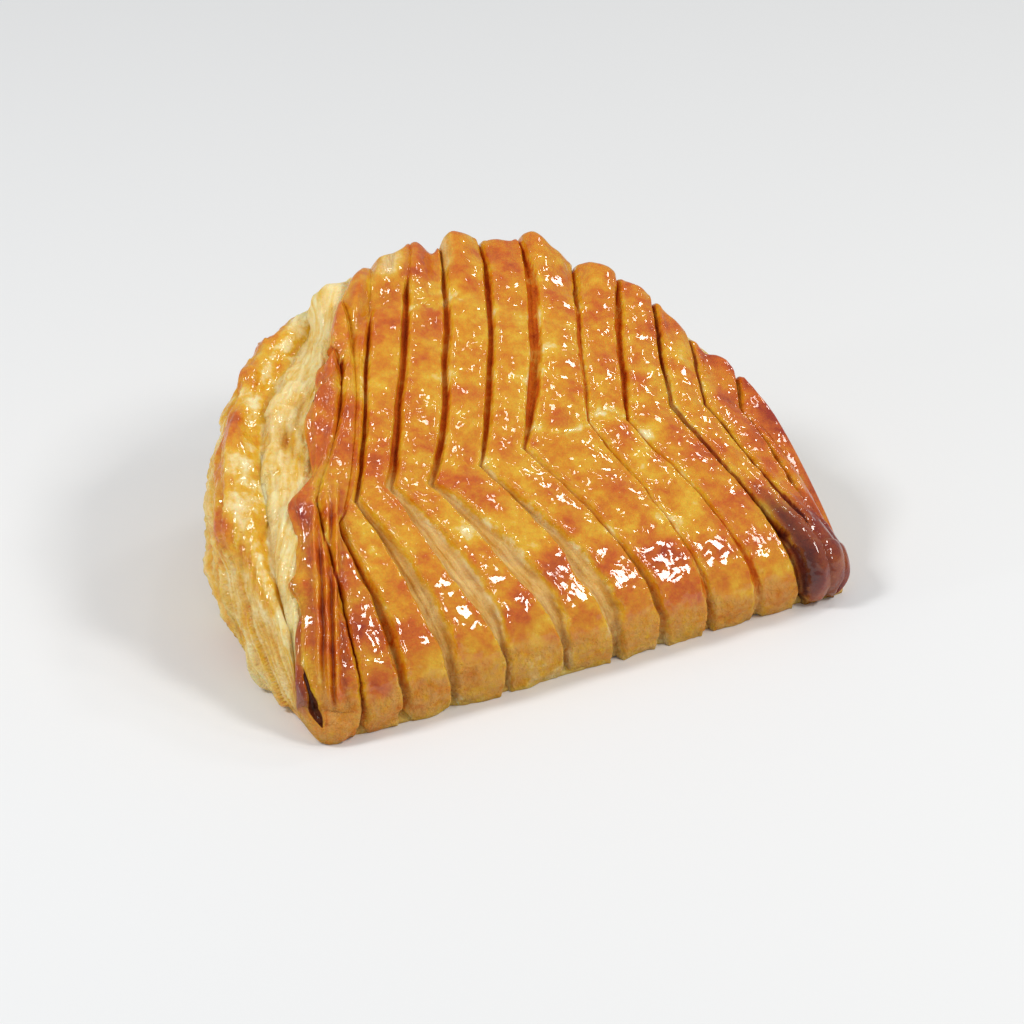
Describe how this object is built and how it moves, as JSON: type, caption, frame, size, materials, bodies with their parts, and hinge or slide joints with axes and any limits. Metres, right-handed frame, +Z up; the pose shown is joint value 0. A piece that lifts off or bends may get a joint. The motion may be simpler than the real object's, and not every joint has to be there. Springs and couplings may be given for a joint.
{
  "type": "apple turnover",
  "caption": "Half-oval puff pastry turnover with a leaf-scored, egg-glazed crust, a straight fold at the front and plies that open below a scalloped rim.",
  "frame": {"origin": "on the resting plane, below the middle of the part's box", "axes": "+X along the fold, +Y from the fold to the rim, +Z up"},
  "size_m": [0.143, 0.1064, 0.0649],
  "materials": {
    "crust": "egg-glazed golden puff pastry, browner on the rib tops and at the tips, paler in the slashes and on the plies"
  },
  "bodies": {
    "root": {"turnover": "crust"}
  },
  "joints": []
}
